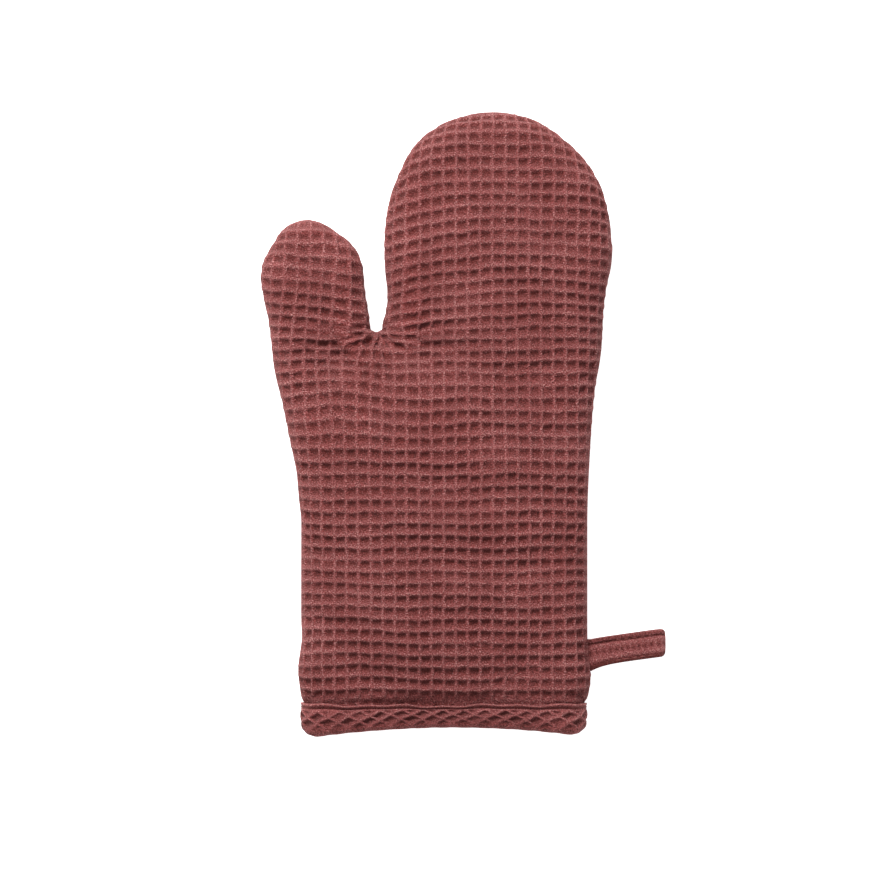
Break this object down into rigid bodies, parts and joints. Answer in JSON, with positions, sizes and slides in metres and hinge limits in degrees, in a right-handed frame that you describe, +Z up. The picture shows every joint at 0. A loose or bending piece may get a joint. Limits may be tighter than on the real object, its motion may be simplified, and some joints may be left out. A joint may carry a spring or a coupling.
{
  "type": "oven mitt",
  "caption": "Quilted waffle-cotton oven mitt with a separate thumb, a bound cuff and a side loop to hang it by; it covers the hand and wrist to hold hot dishes.",
  "frame": {"origin": "the middle of the outline's box at the table: the mitt lies on its back face", "axes": "+Z up out of the front face, +Y from the cuff to the fingertips, thumb on -X and hanging loop on +X"},
  "size_m": [0.2082, 0.3199, 0.032],
  "materials": {
    "waffle_cloth": "matte honeycomb weave, dusty red-brown",
    "binding_cloth": "matte honeycomb weave cut on the bias",
    "loop_cloth": "matte folded honeycomb strip",
    "lining_cloth": "matte plain cotton",
    "wadding": "soft polyester fibre",
    "thread": "matte sewing thread"
  },
  "bodies": {
    "mitt": {"front_shell": "waffle_cloth", "back_shell": "waffle_cloth", "front_wadding": "wadding", "back_wadding": "wadding", "front_lining": "lining_cloth", "back_lining": "lining_cloth", "cuff_binding": "binding_cloth", "loop_sewn_ends": "loop_cloth", "shell_seam_thread": "thread", "lining_seam_thread": "thread", "binding_stitching": "thread"},
    "loop": {"hanging_loop": "loop_cloth", "loop_stitching": "thread"}
  },
  "joints": [
    {"name": "loop_swing", "type": "hinge", "parent": "mitt", "child": "loop", "pos_m": [0.06554, -0.117, 0.012], "axis": [0, -1, 0], "range_deg": [-75, 100]}
  ]
}
